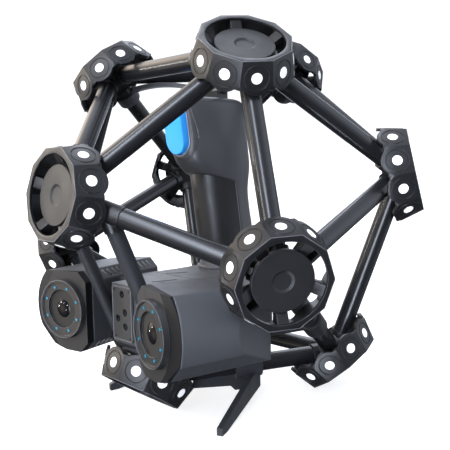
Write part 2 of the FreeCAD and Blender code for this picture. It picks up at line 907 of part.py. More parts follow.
def trigger():
    """The pill, cut back to a face that leans as the head's front does."""
    far = cage_radius
    face = head_front - trigger_proud
    profile = [(-far, 0), (grip_line(face, 0), 0), (grip_line(face, far), far), (-far, far)]
    return trigger_block(0, trigger_back).cut(side_slab(profile, far))


def trigger_floor():
    """Depth of the trigger's pocket, which leaves room for its travel."""
    return trigger_back + trigger_travel + trigger_gap


def trigger_switch(grow=0.0):
    y0 = trigger_floor()
    w, h = switch_half_width + grow, switch_half_height + grow
    return box(-w, w, y0, y0 + switch_depth + grow, trigger_middle - h, trigger_middle + h)


def key_frame(z):
    """A key's place on the head's back, with Z into the head."""
    seat = V(0, grip_line(head_back, z), z)
    return FreeCAD.Placement(seat, FreeCAD.Rotation(X_AXIS, grip_lean + 90))


def key(z):
    return placed(Part.makeCylinder(key_radius, key_depth + key_proud, V(0, 0, -key_proud)), key_frame(z))


def key_well(z):
    radius = key_radius + key_gap
    depth = key_depth + key_travel + key_gap
    return placed(Part.makeCylinder(radius, depth + 2 * key_radius, V(0, 0, -2 * key_radius)), key_frame(z))


def grip_body():
    """Head, rear spine and core of the grip, moulded in one piece."""
    column = grip_column(0, sleeve_bottom, head_top).cut(above_neck())
    keep = grip_column(sleeve_depth, sleeve_bottom, head_top)
    column = column.cut(sleeve_zone().cut(keep)).cut(below_foot())
    body = fuse([column, head_solid(), grip_foot()])
    pocket = [trigger_block(trigger_gap, trigger_floor()), trigger_switch(seat_gap)]
    return body.cut(pocket + [key_well(z) for z in key_heights])


def grip_sleeve():
    outer = grip_column(0, sleeve_bottom, head_top)
    inner = grip_column(sleeve_depth, 2 * sleeve_bottom, 2 * head_top)
    return outer.common(sleeve_zone()).cut(inner).cut(below_foot())


def cable_inlet():
    """Round socket on the back of the housing, open to the rear."""
    seat = V(0, bridge_back, inlet_z)
    shell = Part.makeCylinder(inlet_radius, inlet_length, seat, Y_AXIS)
    floor = inlet_length - inlet_bore_depth
    return shell.cut(Part.makeCylinder(inlet_bore_radius, inlet_length, seat + Y_AXIS * floor, Y_AXIS))


# Arms and clips

def point_on(first, second, at):
    return hubs[first] + (hubs[second] - hubs[first]) * at


def clip_ring(first, second, at, radius, length):
    centre = point_on(first, second, at)
    along = tube_direction(first, second)
    start = centre - along * (length / 2)
    ring = Part.makeCylinder(radius, length, start, along)
    return ring.cut(Part.makeCylinder(tube_radius, length + 2, start - along, along))


collar_share = socket_length / (2 * short_half)


def arm_bracket():
    """Block on the head's top that both upper arms grow out of."""
    low = head_top - 4 * bracket_corner
    high = head_top + bracket_height
    block = box(-bracket_half_width, bracket_half_width, bracket_front, bracket_back, low, high)
    rim = [e for e in block.Edges if e.CenterOfMass.z > high - bracket_corner / 2]
    return block.makeChamfer(bracket_corner, rim).cut(head_solid())


def upper_arm():
    """Flat curved arm from the bracket on the head out to a clip on the cage."""
    clip = clip_ring("top_right", "right_rear", upper_clip_at, clip_radius, clip_length)
    clip = placed(clip, cage_to_optics)
    centre = cage_to_optics.multVec(point_on("top_right", "right_rear", upper_clip_at))
    root_y = (bracket_front + bracket_back) / 2
    start = V(bracket_half_width - 1, root_y, head_top + arm_root_height)
    crown = V(arm_crown_x, arm_crown_y, head_top + arm_crown_height)
    end = centre + V(-clip_radius + arm_end_inset, arm_end_y, arm_end_height)
    arc = Part.Arc(start, crown, end).toShape()
    tangent = arc.tangentAt(arc.FirstParameter)
    side = unit(tangent.cross(Z_AXIS))
    up = unit(side.cross(tangent))
    w = side * (upper_arm_width / 2)
    t = up * (upper_arm_thickness / 2)
    corners = [start + w + t, start - w + t, start - w - t, start + w - t]
    profile = Part.makePolygon(corners + [corners[0]])
    arm = Part.Wire(arc).makePipeShell([profile], True, False)
    collar_end = point_on("top_right", "right_rear", collar_share)
    clear = [
        rod(hubs["top_right"], hubs["right_rear"], tube_radius),
        rod(hubs["top_right"], hubs["rear_upper"], tube_radius + seat_gap),
        rod(hubs["top_right"], collar_end, socket_radius + seat_gap),
    ]
    arm = arm.cut([placed(c, cage_to_optics) for c in clear] + [arm_bracket()])
    return fuse([clip, arm])


def lower_arm():
    """Short arm from the barrel's rear wall to a clip on the side tube."""
    clip = clip_ring("right_front", "bottom_right", lower_clip_at, lower_clip_radius, lower_clip_length)
    clip = placed(clip, cage_to_optics)
    end = cage_to_optics.multVec(point_on("right_front", "bottom_right", lower_clip_at))
    start = lens_frame.multVec(V(lower_arm_x, barrel_length - lower_arm_radius, -lower_arm_drop))
    arm = rod(start, end, lower_arm_radius)
    tube = placed(rod(hubs["right_front"], hubs["bottom_right"], tube_radius), cage_to_optics)
    return fuse([clip, arm.cut([tube, placed(barrel_body(), lens_frame)])])


def floor_height(optics_frame, y):
    """Height of the floor in the optics frame, at a distance y from the centre."""
    above = optics_frame.multVec(V(0, y, 0)).z
    return -above / optics_frame.Rotation.multVec(Z_AXIS).z


def stand_point(at):
    """Point on the axis of the tube that carries the stand, in the optics frame."""
    return cage_to_optics.multVec(point_on("front_lower", "bottom_right", at))


def stand_leg(optics_frame):
    """Tapered blade from the clamp down to a blunt foot, flat on the floor."""
    top = stand_point(stand_clip_at) + V(leg_out, leg_behind, -leg_below)
    tip = V(foot_x, foot_y, floor_height(optics_frame, foot_y))
    along = unit(V(tip.x - top.x, tip.y - top.y, 0))
    side = along.cross(Z_AXIS) * (leg_thickness / 2)
    start = top - along * leg_overlap
    outline = [
        start, start - Z_AXIS * leg_drop,
        tip - Z_AXIS * foot_height / 4, tip + Z_AXIS * foot_height,
    ]
    blade = prism([point - side for point in outline], side * 2)
    room = box(-cage_radius, cage_radius, -cage_radius, cage_radius, 0, cage_radius)
    return blade.common(placed(room, optics_frame.inverse()))


def stand_fin():
    """Upright plate under the tube, from behind the front ring to the clamp's rear."""
    half_clip = stand_clip_length / 4 / short_half
    front, knee = stand_point(fin_start_at), stand_point(fin_knee_at)
    deep, back = stand_point(stand_clip_at - half_clip), stand_point(stand_clip_at + half_clip)
    outline = [
        front, back, back - Z_AXIS * fin_back_depth, deep - Z_AXIS * fin_back_depth,
        knee - Z_AXIS * fin_knee_depth, front - Z_AXIS * fin_front_depth,
    ]
    side = unit((back - front).cross(Z_AXIS)) * (fin_thickness / 2)
    return prism([point - side for point in outline], side * 2)


def stand(optics_frame):
    """Clamp on the lower tube, a fin under the tube and a leg, for one side."""
    clip = clip_ring("front_lower", "bottom_right", stand_clip_at, stand_clip_radius, stand_clip_length)
    clip = placed(clip, cage_to_optics)
    tube = placed(rod(hubs["front_lower"], hubs["bottom_right"], tube_radius), cage_to_optics)
    plates = fuse([stand_leg(optics_frame), stand_fin()]).cut(tube)
    return fuse([clip, plates])


tube_groups = {
    "upper_tubes": ("top_right", "top_left"),
    "front_tubes": ("front_upper", "front_lower"),
    "rear_tubes": ("rear_upper", "right_rear", "left_rear"),
}


def tube_group(first, second):
    for group, ends in tube_groups.items():
        if first in ends or second in ends:
            return group
    return "lower_tubes"


def cage():
    """Everything in the cage's own frame, by node name."""
    ring = target_ring()
    cap = hub_cap()
    rings, caps, cores = [], [], []
    for name, centre in hubs.items():
        frame = frame_at(centre, centre, hubs[hub_neighbours(name)[0]] - centre)
        turn = FreeCAD.Placement(ORIGIN, FreeCAD.Rotation(Z_AXIS, ring_turn.get(name, 0)))
        rings.append(placed(ring, frame.multiply(turn)))
        caps.append(placed(cap, frame))
        cores.append(joint_core(name))
    tubes = {group: [] for group in list(tube_groups) + ["lower_tubes"]}
    solid_optics = fuse(both_sides(placed(barrel_body(), lens_frame)) + [bridge_solid(0)])
    solid_optics = placed(solid_optics, cage_to_optics.inverse())
    stubs = []
    for first, second in edges:
        tube = cage_tube(first, second)
        if (first, second) in housing_edges:
            stubs += tube.cut(solid_optics).Solids
        else:
            tubes[tube_group(first, second)].append(tube)
    nodes = {
        "target_rings": Part.Compound(rings),
        "hub_caps": Part.Compound(caps),
        "joint_cores": Part.Compound(cores),
        "housing_stubs": Part.Compound(stubs),
        "housing_struts": Part.Compound([strut(side).cut(lower_tube(side)) for side in (1, -1)]),
    }
    for group, solids in tubes.items():
        nodes[group] = Part.Compound(solids)
    return nodes


def optics(optics_frame):
    """Everything in the optics' level frame, by node name."""
    nodes = {
        "optics_housing": optics_housing(),
        "laser_plate": laser_plate(),
        "laser_modules": laser_diodes(),
        "main_board": main_board(),
        "grip_body": grip_body(),
        "grip_sleeve": grip_sleeve(),
        "trigger": trigger(),
        "trigger_switch": trigger_switch(),
        "cable_inlet": cable_inlet(),
        "stand": Part.Compound(both_sides(stand(optics_frame))),
        "arm_bracket": arm_bracket(),
    }
    for name, height in zip(("low", "middle", "high"), key_heights):
        nodes[name + "_key"] = key(height)
    for name, make in (("bezel", bezel), ("lens_cell", lens_cell), ("sensor_board", sensor_board)):
        right = placed(make(), lens_frame)
        nodes["right_" + name] = right
        nodes["left_" + name] = mirrored(right)
    for name, make in (("lens_rings", lens_ring), ("lens_glasses", lens_glass), ("camera_lamps", lamps)):
        nodes[name] = Part.Compound(both_sides(placed(make(), lens_frame)))
    nodes["upper_arms"] = Part.Compound(both_sides(upper_arm()))
    nodes["lower_arms"] = Part.Compound(both_sides(lower_arm()))
    return nodes


def standing_frame(rings):
    """The cage's placement: tilted, on the floor and centred over the origin."""
    tilt = FreeCAD.Rotation(X_AXIS, stand_tilt)
    bounds = placed(rings, FreeCAD.Placement(ORIGIN, tilt)).BoundBox
    return FreeCAD.Placement(V(0, -bounds.Center.y, -bounds.ZMin), tilt)


def build():
    cage_nodes = cage()
    cage_frame = standing_frame(cage_nodes["target_rings"])
    optics_frame = cage_frame.multiply(cage_to_optics.inverse())
    parts = {name: placed(shape, cage_frame) for name, shape in cage_nodes.items()}
    for name, shape in optics(optics_frame).items():
        parts[name] = placed(shape, optics_frame)
    return parts


os.makedirs("parts", exist_ok=True)
for node, shape in build().items():
    shape.exportStep("parts/" + node + ".step")
    print(node, len(shape.Solids), shape.isValid(), round(shape.Volume), round(shape.BoundBox.ZMax, 1))
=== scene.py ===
import json
import math

import bmesh
import bpy
from mathutils import Matrix, Vector
from mathutils.bvhtree import BVHTree


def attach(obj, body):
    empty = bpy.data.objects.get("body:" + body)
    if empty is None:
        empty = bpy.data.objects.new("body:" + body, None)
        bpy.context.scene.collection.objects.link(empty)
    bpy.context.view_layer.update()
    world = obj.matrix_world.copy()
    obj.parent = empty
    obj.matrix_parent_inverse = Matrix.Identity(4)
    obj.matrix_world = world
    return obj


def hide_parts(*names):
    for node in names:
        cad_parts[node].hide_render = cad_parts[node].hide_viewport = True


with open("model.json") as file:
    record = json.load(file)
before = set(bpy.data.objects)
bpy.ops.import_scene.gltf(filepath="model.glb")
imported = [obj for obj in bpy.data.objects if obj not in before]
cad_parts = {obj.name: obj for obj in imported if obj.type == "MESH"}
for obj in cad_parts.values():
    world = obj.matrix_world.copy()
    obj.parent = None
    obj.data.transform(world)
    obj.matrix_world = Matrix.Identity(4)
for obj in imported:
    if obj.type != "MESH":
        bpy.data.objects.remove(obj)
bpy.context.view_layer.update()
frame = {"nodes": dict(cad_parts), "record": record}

# Hand-held laser scanner inside a cage of target rings. Metres, front to -Y.

MM = 0.001
side_names = {-1: "left", 1: "right"}

# The cage's and the optics' own frames, as the model has them
cage_radius = 120.5 * MM
cage_centre = Vector((0, 15.906 * MM, 119.291 * MM))
cage_tilt = math.radians(20.0)
optics_tilt = math.radians(-3.6)
cage_frame = Matrix.Translation(cage_centre) @ Matrix.Rotation(cage_tilt, 4, "X")
optics_frame = Matrix.Translation(cage_centre) @ Matrix.Rotation(optics_tilt, 4, "X")

# Target rings: heights run outwards from the plane through their targets, turns are in degrees
ring_sides = 10
ring_reach = 45 * MM
ring_apothem = 27.6 * MM
ring_taper = math.radians(15.0)
ring_front = 8.8 * MM
ring_wall = 2.0 * MM
ring_turn = {"bottom_right": 17.0, "bottom_left": -17.0, "top_left": -7.0}
ring_edge = 0.38 * MM
ring_sharp_angle = 28
hollow_back = -9 * MM
hollow_front = 7.2 * MM
hollow_inner = 20.5 * MM
rim_half = 0.17 * MM
rim_sunk = 0.1 * MM

# Spokes from the cap to the ring's wall, rising outwards
spoke_count = 5
spoke_half_width = 3.25 * MM
spoke_back = -0.9 * MM
spoke_rise = (3.2 * MM, 7.8 * MM)
spoke_overlap = 0.6 * MM
spoke_wall_gap = 2.6 * MM
spoke_slope = 1.6 * MM

# Caps, with a round dimple in the middle
cap_radius = 17.05 * MM
cap_seat = 3.0 * MM
cap_face = 5.3 * MM
cap_edge = 0.35 * MM
dimple_radius = 6.1 * MM
dimple_floor = 4.7 * MM
dimple_depth = 0.85 * MM

# White targets, each in a round seat with a lip; the seat's near-black ring is painted groove shade
target_radius = 3.0 * MM
target_lift = 0.05 * MM
target_thickness = 0.15 * MM
seat_radius = 6.5 * MM
seat_wire = 0.22 * MM
lip_radius = 7.0 * MM
lip_wire = 0.16 * MM

# Grip, its head and the trigger: the trigger is measured in the optics frame
grip_lean = math.radians(7.8)
grip_frame = optics_frame @ Matrix.Translation((0, 1.7 * MM, 0)) @ Matrix.Rotation(grip_lean, 4, "X")
grip_half_width = 16.0 * MM
grip_half_depth = 20.7 * MM
grip_voxel = 1.0 * MM
grip_rounds = 150
grip_firm = 0.03
neck_height = 20.2 * MM
neck_slope = math.radians(22.8)
back_lift = 24 * MM
bridge_top = -37.99 * MM
trigger_half_width = 8.3 * MM
trigger_bottom = 39.0 * MM
trigger_top = 72.0 * MM
before_head = -70 * MM
beside_pocket = 2.6 * MM
rim_beyond = 1.0 * MM
rim_proud = 2.15 * MM
crease_start = 1.2 * MM
crease_spreads = (1.8 * MM, 3.4 * MM)
crease_bottom = 49 * MM
crease_height = 22 * MM
seam_length = 54.5 * MM
seam_depth = -0.8 * MM
seam_proud = 0.08 * MM

# The collar's rows, from inside the pocket outwards: beyond the trigger and proud of the head
collar_rows = (
    (0.75 * MM, -2.0 * MM),
    (0.75 * MM, 1.9 * MM),
    (1.2 * MM, 2.2 * MM),
    (2.4 * MM, 1.7 * MM),
    (4.0 * MM, 0.7 * MM),
    (5.6 * MM, -0.5 * MM),
)

# The curve at the grip's foot, from the housing upwards: beyond the grip and above its foot, in mm
flare_rows = (
    (7.0, -4.0), (5.6, -1.0), (4.2, 1.3), (3.3, 3.4),
    (2.0, 5.6), (0.9, 8.0), (0.2, 11.0), (-0.5, 12.0),
)
flare_height = 12

# Seams on the housing's top, in mm from the cage's centre
top_lines = (
    ((6.5, -66.0), (8.8, -61.4), (12.7, -49.6)),
    ((-9.8, -41.6), (-5.6, -35.8), (-2.5, -28.5)),
)

# Laser plate, with its border and screws
plate_face = -83.76 * MM
plate_half_width = 9.6 * MM
plate_bottom = -72.09 * MM
plate_top = -38.99 * MM
border_inset = 0.4 * MM
border_corner = 2.4 * MM
screw_inset = 2 * MM
screw_radius = 0.8 * MM

# Camera barrels and the rings round their glasses
lens_place = Vector((45.1, -98.268, -56.789)) * MM
toe_in = math.radians(11.8)
lens_floor_back = 1.6 * MM
lens_floor_radius = 12.2 * MM
lens_lip_front = 1.0 * MM
lens_lip_radius = 18.35 * MM
bezel_flat = 0.997
barrel_inner = 19.2 * MM
barrel_chamfer = 6.4 * MM
barrel_top = 24.2 * MM
barrel_bottom = 26.9 * MM

# Vent slots on the barrels' inner chamfers: upper or lower side, first place, how many, and the
# barrel's edge. A slat's outline and depths are in mm; the pale slats are painted light on the slots' lit
# rear walls.
vent_rows = ((1, 22.5 * MM, 11, barrel_top), (-1, 14.0 * MM, 5, -barrel_bottom))
vent_pitch = 4.3 * MM
vent_slant = math.radians(12.0)
slat_outline = ((-0.5, -2.5), (0.95, -2.5), (0.75, 2.7), (0.5, 2.7))
slat_depths = (-1.2, 0.22)

# Camera, worked out from the targets' places in the photograph
camera_place = Vector((314.026, -283.118, 172.735)) * MM
camera_aim = Vector((9.361, 9.738, 111.542)) * MM
camera_roll = math.radians(-3.773)
camera_lens = 51.34

# Light from all round: azimuth and height in degrees, how narrow it is, and its colour
sky_lobes = (
    (-168, 30, 12.0, (5.8, 4.95, 4.0)),
    (-116, -5, 14.0, (1.9, 1.7, 1.45)),
    (136, 12, 8.0, (2.0, 2.15, 2.45)),
    (136, 52, 40.0, (5.5, 5.8, 6.6)),
    (45, 12, 4.0, (1.25, 1.37, 1.55)),
    (0, 90, 3.0, (0.8, 0.85, 0.97)),
)
sky_strip = (-62, 160.0, (17.0, 18.5, 21.5))
sky_base = (0.07, 0.072, 0.08)

# Lamps that show in the left lens: where each one shines on the glass, to the right and up
lens_spot_aim = Vector((-45.1, -98.3, -56.8)) * MM
lens_spot_places = ((-0.49, 0.38), (-0.18, 0.82), (0.29, 0.76), (0.7, 0.53), (0.55, 0.02))
lens_bulge = 0.6


# Places

def angles(count):
    return [2 * math.pi * i / count for i in range(count)]


def frame_at(origin, z_dir, x_hint):
    z = z_dir.normalized()
    x = (x_hint - z * x_hint.dot(z)).normalized()
    y = z.cross(x)
    m = Matrix((x, y, z)).transposed().to_4x4()
    m.translation = origin
    return m


def corner_hubs():
    """The eleven hubs at the corners of an icosahedron, in the cage frame."""
    golden = (1 + math.sqrt(5)) / 2
    short = cage_radius / math.sqrt(1 + golden ** 2)
    long = short * golden
    return {
        "top_right": Vector((short, 0, long)),
        "top_left": Vector((-short, 0, long)),
        "front_upper": Vector((0, -long, short)),
        "front_lower": Vector((0, -long, -short)),
        "right_front": Vector((long, -short, 0)),
        "right_rear": Vector((long, short, 0)),
        "left_front": Vector((-long, -short, 0)),
        "left_rear": Vector((-long, short, 0)),
        "bottom_right": Vector((short, 0, -long)),
        "bottom_left": Vector((-short, 0, -long)),
        "rear_upper": Vector((0, long, short)),
    }


hubs = corner_hubs()


def ring_frame(name):
    """Placement of a ring: Z outwards, X towards the middle of a side face."""
    centre = hubs[name]
    others = [h for h in hubs.values() if h is not centre]
    nearest = min(others, key=lambda h: (h - centre).length)
    turn = Matrix.Rotation(math.radians(ring_turn.get(name, 0)), 4, "Z")
    return cage_frame @ frame_at(centre, centre, nearest - centre) @ turn


def face_frame(ring, k):
    """Frame on a ring's side face, with Z out of the face."""
    turn = Matrix.Rotation(k * 2 * math.pi / ring_sides, 4, "Z")
    lean = Matrix.Rotation(math.radians(90) - ring_taper, 4, "Y")
    return ring @ turn @ Matrix.Translation((ring_apothem, 0, 0)) @ lean


def barrel_frame(mirror):
    """Frame of the right barrel at its front, or of the left one when mirrored."""
    flip = Matrix.Diagonal((mirror, 1, 1, 1))
    toe = Matrix.Rotation(-toe_in, 4, "Z")
    return optics_frame @ flip @ Matrix.Translation(lens_place) @ toe


# Materials

class Nodes:
    """Short calls to build a material's node tree."""

    def __init__(self, name):
        self.material = bpy.data.materials.new(name)
        self.material.use_nodes = True
        self.tree = self.material.node_tree
        self.shader = self.tree.nodes["Principled BSDF"]
        coords = self.tree.nodes.new("ShaderNodeTexCoord")
        self.place = coords.outputs["Object"]

    def put(self, socket, value):
        if isinstance(value, bpy.types.NodeSocket):
            self.tree.links.new(value, socket)
        else:
            socket.default_value = value

    def put_all(self, node, values):
        for key, value in values.items():
            self.put(node.inputs[key.replace("_", " ")], value)

    def add(self, kind, **values):
        node = self.tree.nodes.new(kind)
        self.put_all(node, values)
        return node

    def shade(self, **values):
        self.put_all(self.shader, values)

    def noise(self, scale, detail=4.0):
        node = self.add("ShaderNodeTexNoise", Vector=self.place, Scale=scale, Detail=detail)
        return node.outputs["Fac"]

    def ramp(self, value, first, last, low, high):
        """Low at the first value and high at the last one, and no further."""
        limits = {"From_Min": first, "From_Max": last, "To_Min": low, "To_Max": high}
        return self.add("ShaderNodeMapRange", Value=value, **limits).outputs["Result"]

    def between(self, noise, low, high):
        """Spreads a noise over a range; nearly all of it lies from 0.3 to 0.7."""
        return self.ramp(noise, 0.3, 0.7, low, high)

    def mix(self, factor, first, second):
        node = self.tree.nodes.new("ShaderNodeMix")
        node.data_type = "RGBA"
        self.put_all(node, {"Factor": factor, "A": first, "B": second})
        return node.outputs["Result"]

    def bevel(self, radius):
        node = self.add("ShaderNodeBevel", Radius=radius)
        node.samples = 6
        return node.outputs["Normal"]

    def bump(self, height, distance, strength, radius):
        """Grain on top of softly rounded edges."""
        node = self.add("ShaderNodeBump", Height=height, Distance=distance, Strength=strength)
        self.put(node.inputs["Normal"], self.bevel(radius))
        self.shade(Normal=node.outputs["Normal"])

    def edge_wear_and_highlight(self, width):
        """0 on flat surfaces and up to 1 along edges."""
        geometry = self.tree.nodes.new("ShaderNodeNewGeometry")
        dot = self.tree.nodes.new("ShaderNodeVectorMath")
        dot.operation = "DOT_PRODUCT"
        self.put(dot.inputs[0], self.bevel(width))
        self.put(dot.inputs[1], geometry.outputs["Normal"])
        return self.ramp(dot.outputs["Value"], 0.995, 0.85, 0.0, 1.0)


def colour(r, g, b):
    return (r, g, b, 1.0)


finishes = {}


def moulded(name, base, light, rough, grain=2600.0, depth=0.00002, edge=0.0004,
            wear_and_highlight=0.35, metallic=0.0, shine=0.5, uneven=1.0):
    """Moulded or painted finish: fine grain, slow colour drift and lighter edges, partly wear and partly
    painted highlight.
    """
    n = Nodes(name)
    drift = n.between(n.noise(38.0), 0.0, 0.5)
    body = n.mix(drift, colour(*base), colour(*light))
    if wear_and_highlight:
        rub_and_highlight = n.add("ShaderNodeMath")
        rub_and_highlight.operation = "MULTIPLY"
        n.put(rub_and_highlight.inputs[0], n.edge_wear_and_highlight(edge * 1.5))
        n.put(rub_and_highlight.inputs[1], wear_and_highlight)
        # Pale edge colour: partly wear, partly a painted highlight along the edges.
        pale = colour(*[min(1.0, c * 3.2 + 0.03) for c in light])
        body = n.mix(rub_and_highlight.outputs["Value"], body, pale)
    gloss = n.between(n.noise(90.0, 6.0), rough - 0.06 * uneven, rough + 0.08 * uneven)
    n.shade(Base_Color=body, Roughness=gloss, Metallic=metallic, Specular_IOR_Level=shine)
    if depth:
        n.bump(n.noise(grain, 2.0), distance=depth, strength=0.5, radius=edge)
    finishes[name] = n.material


def glass_finish(name, tint):
    """Dark glass; its low index keeps the reflections faint."""
    n = Nodes(name)
    n.shade(Base_Color=colour(*tint), Roughness=n.between(n.noise(60.0), 0.03, 0.06), IOR=1.3)
    finishes[name] = n.material


def lamp_finish(name, glow):
    n = Nodes(name)
    body = n.mix(n.noise(900.0), colour(*glow), colour(0.012, 0.16, 0.24))
    n.shade(Base_Color=body, Roughness=0.2, Emission_Color=colour(*glow), Emission_Strength=0.06)
    finishes[name] = n.material


def trigger_finish(name):
    """Bright blue plastic with a fine grain and a faint painted glow."""
    n = Nodes(name)
    drift = n.between(n.noise(60.0), 0.0, 1.0)
    blue = n.mix(drift, colour(0.02, 0.32, 0.88), colour(0.025, 0.36, 0.94))
    gloss = n.between(n.noise(90.0, 6.0), 0.34, 0.42)
    n.shade(Base_Color=blue, Roughness=gloss, Emission_Color=blue, Emission_Strength=0.2)
    n.bump(n.noise(1800.0, 2.0), distance=0.00002, strength=0.5, radius=0.0012)
    finishes[name] = n.material


def target_finish(name):
    """Retro-reflective white with a faint bead grain and a painted glow."""
    n = Nodes(name)
    beads = n.between(n.noise(5200.0, 1.0), 0.0, 1.0)
    white = n.mix(beads, colour(0.93, 0.93, 0.94), colour(0.99, 0.99, 1.0))
    n.shade(Base_Color=white, Roughness=0.6, Emission_Color=colour(1.0, 1.0, 1.0), Emission_Strength=0.35)
    n.bump(n.noise(5200.0, 1.0), distance=0.00001, strength=0.4, radius=0.0001)
    finishes[name] = n.material


# The pale edges set below are partly wear and partly painted highlight, strongest on the rings and the
# lens rings.
moulded("ring_black", (0.012, 0.012, 0.013), (0.016, 0.016, 0.018), 0.38, wear_and_highlight=0.75, shine=0.4)
moulded("cap_black", (0.016, 0.016, 0.017), (0.021, 0.021, 0.022), 0.46, wear_and_highlight=0.2, shine=0.4)
moulded("core_black", (0.01, 0.01, 0.011), (0.014, 0.014, 0.015), 0.36, wear_and_highlight=0.2)
moulded("tube_black", (0.014, 0.014, 0.016), (0.018, 0.018, 0.02), 0.26, depth=0.0, wear_and_highlight=0.0, uneven=0.08)
moulded("strut_black", (0.026, 0.027, 0.03), (0.031, 0.032, 0.036), 0.6, wear_and_highlight=0.0, shine=0.3)
moulded("housing_grey", (0.07, 0.0722, 0.079), (0.082, 0.0845, 0.092), 0.44, edge=0.0018, wear_and_highlight=0.05)
moulded("bezel_black", (0.02, 0.02, 0.021), (0.027, 0.027, 0.028), 0.42, wear_and_highlight=0.2, shine=0.36)
moulded("lens_ring_black", (0.02, 0.02, 0.021), (0.026, 0.026, 0.027), 0.34, wear_and_highlight=0.6)
glass_finish("lens_glass", (0.006, 0.006, 0.007))
moulded("lens_metal", (0.02, 0.02, 0.02), (0.03, 0.03, 0.03), 0.4, metallic=0.6)
lamp_finish("lamp_cyan", (0.01, 0.22, 0.34))
moulded("board_green", (0.01, 0.1, 0.05), (0.02, 0.14, 0.07), 0.4)
moulded("laser_plate_black", (0.026, 0.026, 0.028), (0.033, 0.033, 0.035), 0.45, wear_and_highlight=0.3)
glass_finish("laser_metal", (0.01, 0.01, 0.012))
moulded("grip_grey", (0.062, 0.062, 0.066), (0.074, 0.074, 0.079), 0.4, wear_and_highlight=0.0)
moulded("grip_rubber", (0.014, 0.014, 0.015), (0.02, 0.02, 0.021), 0.42, grain=1500.0)
trigger_finish("trigger_blue")
moulded("switch_black", (0.02, 0.02, 0.02), (0.03, 0.03, 0.03), 0.5)
moulded("key_grey", (0.07, 0.07, 0.075), (0.09, 0.09, 0.095), 0.55)
moulded("arm_black", (0.018, 0.018, 0.02), (0.024, 0.024, 0.027), 0.42, wear_and_highlight=0.15)
moulded("clip_grey", (0.07, 0.071, 0.077), (0.09, 0.091, 0.098), 0.38, wear_and_highlight=0.2)
moulded("stand_grey", (0.026, 0.027, 0.031), (0.034, 0.035, 0.04), 0.42, wear_and_highlight=0.2)
moulded("inlet_metal", (0.15, 0.15, 0.16), (0.2, 0.2, 0.21), 0.35, metallic=0.9)

# Finishes of the pieces that are added below
target_finish("target_white")
# Pale grey lines that stand for highlights along edges and ridges: painted highlight.
moulded("pale_edge_highlight", (0.12, 0.12, 0.13), (0.15, 0.15, 0.16), 0.35, wear_and_highlight=0.0)
# Pale rim round the trigger: painted highlight on the pocket's edge.
moulded("trigger_rim_highlight", (0.34, 0.34, 0.38), (0.4, 0.4, 0.44), 0.35, wear_and_highlight=0.0)
# Pale beige slats: painted light on the vents' lit rear walls.
moulded("vent_painted_light", (0.24, 0.23, 0.215), (0.28, 0.27, 0.25), 0.4, wear_and_highlight=0.0)
# Darker copy of the bezel's finish for its outer slope: painted shade.
moulded("bezel_slope_shade", (0.01, 0.01, 0.011), (0.013, 0.013, 0.014), 0.5, wear_and_highlight=0.0, shine=0.15)
moulded("lens_floor_black", (0.008, 0.008, 0.008), (0.011, 0.011, 0.011), 0.5, wear_and_highlight=0.0)
# Near black: the own colour of seams and screws, and painted shade in the targets' seat grooves.
moulded("near_black_and_groove_shade", (0.003, 0.003, 0.003), (0.005, 0.005, 0.005), 0.6, wear_and_highlight=0.0)


def dress_nodes():
    slots = {s["node"]: s["material_slot"] for s in frame["record"]["subparts"]}
    for node, thing in frame["nodes"].items():
        material = finishes[slots[node]]
        if not thing.material_slots:
            thing.data.materials.append(material)
        for s in thing.material_slots:
            s.material = material


# Meshes

def linked_object(name, data):
    thing = bpy.data.objects.new(name, data)
    bpy.context.scene.collection.objects.link(thing)
    return thing


def new_piece(name, data, material, body="frame"):
    piece = linked_object(name, data)
    piece.data.materials.append(finishes[material])
    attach(piece, body)
    return piece


def finish_mesh(bm, name, smooth_angle=35.0):
    mesh = bpy.data.meshes.new(name)
    bmesh.ops.recalc_face_normals(bm, faces=bm.faces)
    bm.to_mesh(mesh)
    bm.free()
    mesh.polygons.foreach_set("use_smooth", [True] * len(mesh.polygons))
    mesh.set_sharp_from_angle(angle=math.radians(smooth_angle))
    return mesh


def mesh_piece(name, bm, material, smooth_angle=35.0):
    return new_piece(name, finish_mesh(bm, name, smooth_angle), material)


def evaluated_mesh(thing):
    graph = bpy.context.evaluated_depsgraph_get()
    return bpy.data.meshes.new_from_object(thing.evaluated_get(graph))


def skin_loops(bm, loops):
    """Faces from each closed loop of vertices to the next one."""
    for near, far in zip(loops, loops[1:]):
        count = len(near)
        for i in range(count):
            j = (i + 1) % count
            bm.faces.new((near[i], near[j], far[j], far[i]))


def add_turned(bm, matrix, rows, sides=72):
    """Turned solid through rows of radius and height, closed by its last row."""
    loops = []
    for r, z in rows:
        points = [Vector((r * math.cos(a), r * math.sin(a), z)) for a in angles(sides)]
        loops.append([bm.verts.new(matrix @ p) for p in points])
    skin_loops(bm, loops)
    bm.faces.new(loops[-1])


def add_disc(bm, matrix, radius, thickness, lip, sides=40):
    """Thin round plate with a small bevelled lip, facing +Z of the matrix."""
    rows = [(radius, 0.0), (radius, thickness - lip), (radius - lip, thickness)]
    add_turned(bm, matrix, rows, sides)


def add_hoop(bm, matrix, radius, wire, sides=56, rounds=8):
    """Fine raised circle: a torus, half sunk in the surface it marks."""
    loops = []
    for a in angles(sides):
        loop = []
        for b in angles(rounds):
            r = radius + wire * math.cos(b)
            point = Vector((r * math.cos(a), r * math.sin(a), wire * math.sin(b)))
            loop.append(bm.verts.new(matrix @ point))
        loops.append(loop)
    skin_loops(bm, loops + loops[:1])


